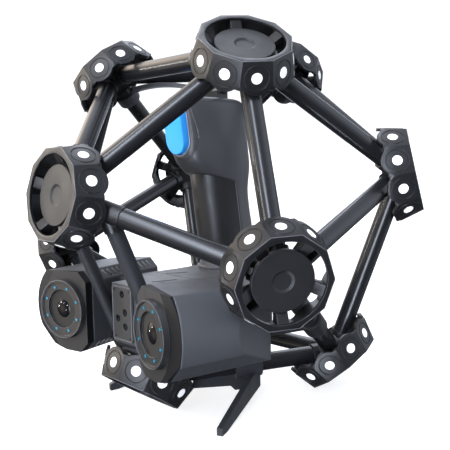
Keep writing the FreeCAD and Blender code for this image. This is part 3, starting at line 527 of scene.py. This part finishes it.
def add_block(bm, matrix, corners, bevel):
    """Eight-cornered block, low face first, with bevelled edges."""
    verts = [bm.verts.new(matrix @ Vector(c)) for c in corners]
    faces = [(0, 1, 2, 3), (4, 5, 6, 7), (0, 1, 5, 4), (1, 2, 6, 5), (2, 3, 7, 6), (3, 0, 4, 7)]
    made = [bm.faces.new([verts[i] for i in f]) for f in faces]
    edges = list({e for f in made for e in f.edges})
    bmesh.ops.bevel(bm, geom=edges, offset=bevel, segments=2, profile=0.5, affect="EDGES")


def thread(name, points, material, radius, closed=False):
    """Fine round bead along points, as a smooth curve."""
    curve = bpy.data.curves.new(name, "CURVE")
    curve.dimensions = "3D"
    curve.bevel_depth = radius
    curve.bevel_resolution = 3
    curve.resolution_u = 4
    spline = curve.splines.new("NURBS")
    spline.points.add(len(points) - 1)
    for slot, p in zip(spline.points, points):
        slot.co = (*p, 1.0)
    spline.order_u = 3
    spline.use_cyclic_u = closed
    spline.use_endpoint_u = not closed
    new_piece(name, curve, material)


def surface_tree(meshes):
    """One tree over several meshes, for rays onto them."""
    points, faces = [], []
    for mesh in meshes:
        first = len(points)
        points += [v.co.copy() for v in mesh.vertices]
        faces += [[first + i for i in p.vertices] for p in mesh.polygons]
    return BVHTree.FromPolygons(points, faces)


# Hubs

def targets():
    """White targets and the round seats that they lie in; each seat is a raised near-black ring, painted
    shade of a groove.
    """
    for name in hubs:
        ring = ring_frame(name)
        discs, seats, lips = bmesh.new(), bmesh.new(), bmesh.new()
        for k in range(ring_sides):
            face = face_frame(ring, k)
            lifted = face @ Matrix.Translation((0, 0, target_lift))
            add_disc(discs, lifted, target_radius, target_thickness, lip=0.05 * MM)
            # Near-black ring: painted shade where the seat's groove is.
            add_hoop(seats, face, seat_radius, seat_wire)
            add_hoop(lips, face, lip_radius, lip_wire)
        mesh_piece("targets_" + name, discs, "target_white")
        mesh_piece("target_seats_" + name, seats, "near_black_and_groove_shade", smooth_angle=80)
        mesh_piece("target_lips_" + name, lips, "tube_black", smooth_angle=80)


def caps():
    """Round caps, sunk behind the ring's lip, each with a shallow dimple."""
    rows = [
        (cap_radius, cap_seat),
        (cap_radius, cap_face - cap_edge),
        (cap_radius - cap_edge, cap_face),
        (dimple_radius, cap_face),
        (dimple_floor, cap_face - dimple_depth),
    ]
    bm = bmesh.new()
    for name in hubs:
        add_turned(bm, ring_frame(name), rows)
    skin = mesh_piece("cap_skins", bm, "cap_black", smooth_angle=18)
    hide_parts("hub_caps")


def decagon_point(apothem, angle):
    """Point on a ten-sided outline whose first flat faces +X."""
    step = 2 * math.pi / ring_sides
    off = (angle + step / 2) % step - step / 2
    r = apothem / math.cos(off)
    return r * math.cos(angle), r * math.sin(angle)


def circle_point(radius, angle):
    return radius * math.cos(angle), radius * math.sin(angle)


def wall_inside(height):
    """How far the inside of a ring's side wall lies from its axis."""
    return ring_apothem - height * math.tan(ring_taper) - ring_wall


def hollow_cutter():
    """Space between the spokes' inner ends and the ring's thin side wall."""
    rows = (
        (decagon_point, wall_inside(hollow_back), hollow_back),
        (decagon_point, wall_inside(hollow_front), hollow_front),
        (circle_point, hollow_inner, hollow_front),
        (circle_point, hollow_inner, hollow_back),
    )
    bm = bmesh.new()
    loops = []
    for point, reach, z in rows:
        loops.append([bm.verts.new((*point(reach, a), z)) for a in angles(4 * ring_sides)])
    skin_loops(bm, loops + loops[:1])
    return linked_object("hollow_cutter", finish_mesh(bm, "hollow_cutter"))


def hollowed_ring():
    """The first hub's ring in its own frame, with a thin side wall and soft edges."""
    bm = bmesh.new()
    bm.from_mesh(frame["nodes"]["target_rings"].data)
    bmesh.ops.transform(bm, matrix=ring_frame("top_right").inverted(), verts=bm.verts)
    far = [v for v in bm.verts if v.co.length > ring_reach]
    bmesh.ops.delete(bm, geom=far, context="VERTS")
    bmesh.ops.remove_doubles(bm, verts=bm.verts, dist=0.000005)
    worker = linked_object("ring_worker", finish_mesh(bm, "ring_worker"))
    cutter = hollow_cutter()
    cut = worker.modifiers.new("cut", "BOOLEAN")
    cut.operation = "DIFFERENCE"
    cut.solver = "EXACT"
    cut.object = cutter
    soft = worker.modifiers.new("soft", "BEVEL")
    soft.width = ring_edge
    soft.segments = 2
    soft.limit_method = "ANGLE"
    soft.angle_limit = math.radians(ring_sharp_angle)
    mesh = evaluated_mesh(worker)
    bpy.data.objects.remove(worker)
    bpy.data.objects.remove(cutter)
    return mesh


def add_spokes(bm):
    w = spoke_half_width
    start = cap_radius - spoke_overlap
    end = ring_apothem - spoke_wall_gap
    crest = end - spoke_slope
    low, high = spoke_rise
    base = [(x, y, spoke_back) for x, y in ((start, -w), (end, -w), (end, w), (start, w))]
    top = [(start, -w, low), (crest, -w, high), (crest, w, high), (start, w, low)]
    for k in range(spoke_count):
        turn = Matrix.Rotation((k + 0.5) * 2 * math.pi / spoke_count, 4, "Z")
        add_block(bm, turn, base + top, bevel=0.3 * MM)


def rings():
    """Target rings with a lip, a thin side wall and raised spokes."""
    bm = bmesh.new()
    bm.from_mesh(hollowed_ring())
    add_spokes(bm)
    local = finish_mesh(bm, "ring_local", ring_sharp_angle)
    bm = bmesh.new()
    for name in hubs:
        before = len(bm.verts)
        bm.from_mesh(local)
        bm.verts.ensure_lookup_table()
        bmesh.ops.transform(bm, matrix=ring_frame(name), verts=bm.verts[before:])
    skin = mesh_piece("ring_skins", bm, "ring_black", ring_sharp_angle)
    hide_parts("target_rings")


def rim_beads():
    """Fine pale line along the front outer edge of each ring: a painted highlight on the bevelled edge.
    """
    bm = bmesh.new()
    apothem = ring_apothem - ring_front * math.tan(ring_taper) - rim_sunk
    half = apothem * math.tan(math.pi / ring_sides)
    r = rim_half
    outline = ((-r, -half), (r, -half), (r, half), (-r, half))
    corners = [(x, y, z) for z in (-r, r) for x, y in outline]
    for name in hubs:
        for k in range(ring_sides):
            turn = Matrix.Rotation(k * 2 * math.pi / ring_sides, 4, "Z")
            edge = Matrix.Translation((apothem, 0, ring_front - rim_sunk))
            add_block(bm, ring_frame(name) @ turn @ edge, corners, bevel=0.06 * MM)
    mesh_piece("rim_beads", bm, "pale_edge_highlight", smooth_angle=30)


# Optics

def bezel_skins():
    """Bezels whose outer slope is darker than their flat face: painted shade on the slope."""
    for mirror in (1, -1):
        node = side_names[mirror] + "_bezel"
        ahead = barrel_frame(mirror).to_3x3() @ Vector((0, -1, 0))
        mesh = frame["nodes"][node].data.copy()
        mesh.materials.clear()
        mesh.materials.append(finishes["bezel_black"])
        mesh.materials.append(finishes["bezel_slope_shade"])
        for p in mesh.polygons:
            # Flat face keeps the bezel's finish; the slope gets its painted shade copy.
            p.material_index = 0 if p.normal.dot(ahead) > bezel_flat else 1
        skin = linked_object(node + "_skin", mesh)
        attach(skin, "frame")
        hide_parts(node)


def lens_floors():
    """Darker floor round each front glass, and a fine pale line on its ring's lip that is a painted
    highlight.
    """
    floors, lines = bmesh.new(), bmesh.new()
    ahead = Matrix.Rotation(math.pi / 2, 4, "X")
    for mirror in (1, -1):
        face = barrel_frame(mirror) @ Matrix.Translation((0, lens_floor_back, 0)) @ ahead
        lip = face @ Matrix.Translation((0, 0, lens_floor_back + lens_lip_front))
        add_disc(floors, face, lens_floor_radius, thickness=0.12 * MM, lip=0.05 * MM, sides=64)
        add_hoop(lines, lip, lens_lip_radius, wire=0.15 * MM, sides=96)
    mesh_piece("lens_floors", floors, "lens_floor_black")
    mesh_piece("lens_lines", lines, "pale_edge_highlight", smooth_angle=80)


def top_seams():
    """Fine seam lines on the housing's top."""
    tree = surface_tree([frame["nodes"]["optics_housing"].data])
    down = optics_frame.to_3x3() @ Vector((0, 0, -1))
    for n, line in enumerate(top_lines):
        points = []
        for (ax, ay), (bx, by) in zip(line, line[1:]):
            for i in range(8):
                t = i / 8
                above = Vector((ax + (bx - ax) * t, ay + (by - ay) * t, 0)) * MM
                points.append(tree.ray_cast(optics_frame @ above, down)[0])
        thread("top_seam_%d" % n, points, "near_black_and_groove_shade", radius=0.22 * MM)


def plate_trim():
    """Raised border round the laser plate, with a screw in each corner."""
    w = plate_half_width - border_inset
    low, high = plate_bottom + border_inset, plate_top - border_inset
    points = []
    for sx, sz in ((1, 1), (-1, 1), (-1, -1), (1, -1)):
        z = high if sz > 0 else low
        ends = [(sx * w, z - sz * border_corner), (sx * w, z), (sx * (w - border_corner), z)]
        points += ends if sx * sz > 0 else ends[::-1]
    border = [optics_frame @ Vector((x, plate_face, z)) for x, z in points]
    thread("plate_border", border, "clip_grey", radius=0.55 * MM, closed=True)
    bm = bmesh.new()
    ahead = Matrix.Rotation(math.pi / 2, 4, "X")
    for x in (-w + screw_inset, w - screw_inset):
        for z in (low + screw_inset, high - screw_inset):
            spot = optics_frame @ Matrix.Translation((x, plate_face, z)) @ ahead
            add_disc(bm, spot, screw_radius, thickness=0.25 * MM, lip=0.1 * MM, sides=20)
    mesh_piece("plate_screws", bm, "near_black_and_groove_shade")


def vent_painted_light_slats():
    """Thin pale slat on the rear wall of each vent slot: painted light where that wall is lit."""
    bm = bmesh.new()
    r = barrel_chamfer / 2
    corners = [(x * MM, y * MM, z * MM) for z in slat_depths for x, y in slat_outline]
    for side, start, count, edge in vent_rows:
        slant = Matrix.Rotation(-side * vent_slant, 4, "Z")
        for mirror in (1, -1):
            for k in range(count):
                place = Vector((-barrel_inner + r, start + k * vent_pitch, edge - side * r))
                slot = frame_at(place, Vector((-1, 0, side)), Vector((0, 1, 0)))
                add_block(bm, barrel_frame(mirror) @ slot @ slant, corners, bevel=0.06 * MM)
    mesh_piece("vent_painted_light_slats", bm, "vent_painted_light", smooth_angle=30)


# Grip

def share(value, start, width):
    """0 up to the start, 1 from a width further on, and straight in between."""
    return min(1.0, max(0.0, (value - start) / width))


def grip_softness(point):
    """How soft the grip is: soft in its head, firm below the neck."""
    p = grip_frame.inverted() @ point
    above = p.z - neck_height + p.y * math.tan(neck_slope)
    above += back_lift * share(p.y, start=1 * MM, width=8 * MM)
    return max(grip_firm, share(above, start=1 * MM, width=6 * MM))


def softened_grip():
    """The grip's head and spine as one even mesh, rounded where it is soft."""
    source = frame["nodes"]["grip_body"].data.copy()
    bm = bmesh.new()
    bm.from_mesh(source)
    bmesh.ops.remove_doubles(bm, verts=bm.verts, dist=0.00001)
    bm.to_mesh(source)
    bm.free()
    worker = linked_object("grip_worker", source)
    remesh = worker.modifiers.new("even", "REMESH")
    remesh.mode = "VOXEL"
    remesh.voxel_size = grip_voxel
    worker.data = evaluated_mesh(worker)
    worker.modifiers.clear()
    group = worker.vertex_groups.new(name="soft")
    for v in worker.data.vertices:
        group.add([v.index], grip_softness(v.co), "REPLACE")
    soften = worker.modifiers.new("soft", "SMOOTH")
    soften.factor = 0.5
    soften.iterations = grip_rounds
    soften.vertex_group = "soft"
    mesh = evaluated_mesh(worker)
    bpy.data.objects.remove(worker)
    mesh.name = "grip_skin"
    mesh.materials.clear()
    mesh.polygons.foreach_set("use_smooth", [True] * len(mesh.polygons))
    return mesh


def grip_skin():
    skin = new_piece("grip_skin", softened_grip(), "grip_grey")
    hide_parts("grip_body")
    return skin


def on_head(tree, x, z):
    """Point on the head's front at a place seen from the front."""
    start = optics_frame @ Vector((x, before_head, z))
    ahead = optics_frame.to_3x3() @ Vector((0, 1, 0))
    return tree.ray_cast(start, ahead)[0]


def trigger_outline(grow, steps=15):
    """Points round the trigger's upright pill, seen from the front."""
    half_width = trigger_half_width + grow
    top, bottom = trigger_top + grow - half_width, trigger_bottom - grow + half_width
    points = []
    for middle, first in ((top, 0.0), (bottom, math.pi)):
        for i in range(steps):
            a = first + math.pi * i / (steps - 1)
            points.append((half_width * math.cos(a), middle + half_width * math.sin(a)))
    return points


def pocket_line(tree, grow, proud):
    """Pill round the trigger, standing proud of the head's front by some way."""
    outline = trigger_outline(grow)
    beside = trigger_outline(max(grow, beside_pocket))
    points = []
    for (x, z), (beside_x, beside_z) in zip(outline, beside):
        hit = on_head(tree, beside_x, min(beside_z, trigger_top - 2 * MM))
        depth = (optics_frame.inverted() @ hit).y
        points.append(optics_frame @ Vector((x, depth - proud, z)))
    return points


def trigger_trim(skin):
    """Raised collar with a pale rim round the trigger, and fine pale creases beside it; the pale rim and
    creases are painted highlights along edges.
    """
    tree = surface_tree([skin.data])
    bm = bmesh.new()
    loops = []
    for grow, proud in collar_rows:
        loops.append([bm.verts.new(p) for p in pocket_line(tree, grow, proud)])
    skin_loops(bm, loops)
    collar = mesh_piece("trigger_collar", bm, "grip_grey", smooth_angle=60)
    rim = pocket_line(tree, rim_beyond, rim_proud)
    thread("trigger_rim", rim, "trigger_rim_highlight", radius=0.34 * MM, closed=True)
    tree = surface_tree([skin.data, collar.data])
    for side, word in side_names.items():
        for n, spread in enumerate(crease_spreads):
            points = []
            for i in range(9):
                t = i / 8
                x = side * (trigger_half_width + crease_start + spread * (1 - 0.6 * t * t))
                points.append(on_head(tree, x, crease_bottom + crease_height * t))
            thread("crease_%s_%d" % (word, n), points, "pale_edge_highlight", radius=0.3 * MM)


def spine_seams():
    """Pale line down each side of the grip, where its sleeve meets the spine: a painted highlight along
    the seam's edge.
    """
    for side, word in side_names.items():
        x = side * (grip_half_width + seam_proud)
        heights = [neck_height - seam_length * i / 11 for i in range(12)]
        points = [grip_frame @ Vector((x, seam_depth, z)) for z in heights]
        thread("spine_seam_" + word, points, "pale_edge_highlight", radius=0.24 * MM)


def grip_flare():
    """Hollow curve where the grip grows out of the housing's top."""
    bm = bmesh.new()
    loops = []
    foot = bridge_top / math.cos(grip_lean)
    for grow, height in flare_rows:
        lean = math.tan(grip_lean) * max(0.0, 1 - height / flare_height)
        loop = []
        for a in angles(64):
            x = (grip_half_width + grow * MM) * math.cos(a)
            y = (grip_half_depth + grow * MM) * math.sin(a)
            point = Vector((x, y, foot + height * MM + y * lean))
            loop.append(bm.verts.new(grip_frame @ point))
        loops.append(loop)
    skin_loops(bm, loops)
    mesh_piece("grip_flare", bm, "housing_grey", smooth_angle=60)


# Studio

def area_light(name, place, aim, size, power, tint):
    data = bpy.data.lights.new(name, "AREA")
    data.shape = "RECTANGLE"
    data.size = size
    data.size_y = size
    data.energy = power
    data.color = tint
    lamp = linked_object(name, data)
    lamp.location = place
    lamp.rotation_euler = (Vector(aim) - Vector(place)).to_track_quat("-Z", "Y").to_euler()


class Sky:
    """Light from all round, as a sum of soft lobes; each one faces a direction."""

    def __init__(self, name):
        self.world = bpy.data.worlds.new(name)
        self.world.use_nodes = True
        self.tree = self.world.node_tree
        self.sum = None
        coords = self.tree.nodes.new("ShaderNodeTexCoord")
        self.direction = coords.outputs["Generated"]

    def vector(self, operation, first, second):
        node = self.tree.nodes.new("ShaderNodeVectorMath")
        node.operation = operation
        for socket, value in zip(node.inputs, (first, second)):
            if isinstance(value, bpy.types.NodeSocket):
                self.tree.links.new(value, socket)
            elif value is not None:
                socket.default_value = value
        return node

    def scalar(self, operation, first, second):
        node = self.tree.nodes.new("ShaderNodeMath")
        node.operation = operation
        self.tree.links.new(first, node.inputs[0])
        node.inputs[1].default_value = second
        return node.outputs["Value"]

    def lobe(self, towards, sharpness, tint, upright=False):
        """A soft light; an upright one is a tall strip."""
        looked = self.direction
        if upright:
            flat = self.vector("MULTIPLY", self.direction, (1.0, 1.0, 0.0))
            looked = self.vector("NORMALIZE", flat.outputs["Vector"], None).outputs["Vector"]
        dot = self.vector("DOT_PRODUCT", looked, Vector(towards).normalized()).outputs["Value"]
        level = self.scalar("POWER", self.scalar("MAXIMUM", dot, 0.0), sharpness)
        node = self.tree.nodes.new("ShaderNodeVectorMath")
        node.operation = "SCALE"
        node.inputs[0].default_value = tint
        self.tree.links.new(level, node.inputs["Scale"])
        self.add(node.outputs["Vector"])

    def add(self, light):
        if self.sum is None:
            self.sum = light
        else:
            self.sum = self.vector("ADD", self.sum, light).outputs["Vector"]

    def finish(self, base):
        whole = self.vector("ADD", self.sum, base).outputs["Vector"]
        self.tree.links.new(whole, self.tree.nodes["Background"].inputs["Color"])
        bpy.context.scene.world = self.world


def around(azimuth, elevation=0.0):
    """A direction, by degrees round from +X towards +Y and up from the floor."""
    a, e = math.radians(azimuth), math.radians(elevation)
    return (math.cos(e) * math.cos(a), math.cos(e) * math.sin(a), math.sin(e))


def lens_spots():
    """Five small lamps that show as points of light in the lenses."""
    glass = optics_frame @ lens_spot_aim
    to_camera = (camera_place - glass).normalized()
    face = Vector((math.sin(toe_in), -math.cos(toe_in), 0))
    across = Vector((math.cos(toe_in), math.sin(toe_in), 0))
    for n, (right, up) in enumerate(lens_spot_places):
        normal = (face + (across * right + Vector((0, 0, up))) * lens_bulge).normalized()
        towards = normal * (2 * normal.dot(to_camera)) - to_camera
        place = glass + towards
        area_light("lens_spot_%d" % n, place, glass, size=0.05, power=1.2, tint=(1.0, 0.98, 0.95))


def studio():
    sky = Sky("studio")
    for azimuth, elevation, sharpness, tint in sky_lobes:
        sky.lobe(around(azimuth, elevation), sharpness, tint)
    azimuth, sharpness, tint = sky_strip
    sky.lobe(around(azimuth), sharpness, tint, upright=True)
    sky.finish(sky_base)
    middle = (0, 0, 0.12)
    area_light("key", (-0.2, -1.0, 1.2), middle, size=0.4, power=6, tint=(0.95, 0.97, 1.0))
    lens_spots()
    bpy.context.scene.view_settings.view_transform = "Standard"


def stage_piece(name, bm, white, glow):
    """White surroundings that stay out of the object's reflections and light."""
    mesh = bpy.data.meshes.new(name)
    bm.to_mesh(mesh)
    bm.free()
    piece = linked_object(name, mesh)
    n = Nodes(name)
    paler = white + 0.02
    pale = n.mix(n.noise(3.0), colour(white, white, white), colour(paler, paler, paler))
    n.shade(Base_Color=pale, Roughness=0.9, Emission_Color=colour(1.0, 1.0, 1.0), Emission_Strength=glow)
    piece.data.materials.append(n.material)
    piece.visible_glossy = False
    piece.visible_diffuse = False
    piece.visible_transmission = False
    return piece


def floor():
    bm = bmesh.new()
    bmesh.ops.create_grid(bm, x_segments=1, y_segments=1, size=6.0)
    plane = stage_piece("floor", bm, white=0.55, glow=0.72)
    plane.location.z = -0.0002


def backdrop():
    """White wall all round, far behind everything."""
    bm = bmesh.new()
    bmesh.ops.create_icosphere(bm, subdivisions=4, radius=5.5)
    wall = stage_piece("backdrop", bm, white=0.1, glow=1.0)
    wall.visible_shadow = False


def photo_camera():
    data = bpy.data.cameras.new("camera")
    data.lens = camera_lens
    data.clip_start = 0.01
    cam = linked_object("camera", data)
    look = (camera_aim - camera_place).to_track_quat("-Z", "Y").to_matrix().to_4x4()
    roll = Matrix.Rotation(camera_roll, 4, "Z")
    cam.matrix_world = Matrix.Translation(camera_place) @ look @ roll
    bpy.context.scene.camera = cam


photo_camera()
studio()
floor()
backdrop()
dress_nodes()
targets()
caps()
rings()
rim_beads()
bezel_skins()
lens_floors()
top_seams()
trigger_trim(grip_skin())
spine_seams()
plate_trim()
vent_painted_light_slats()
grip_flare()
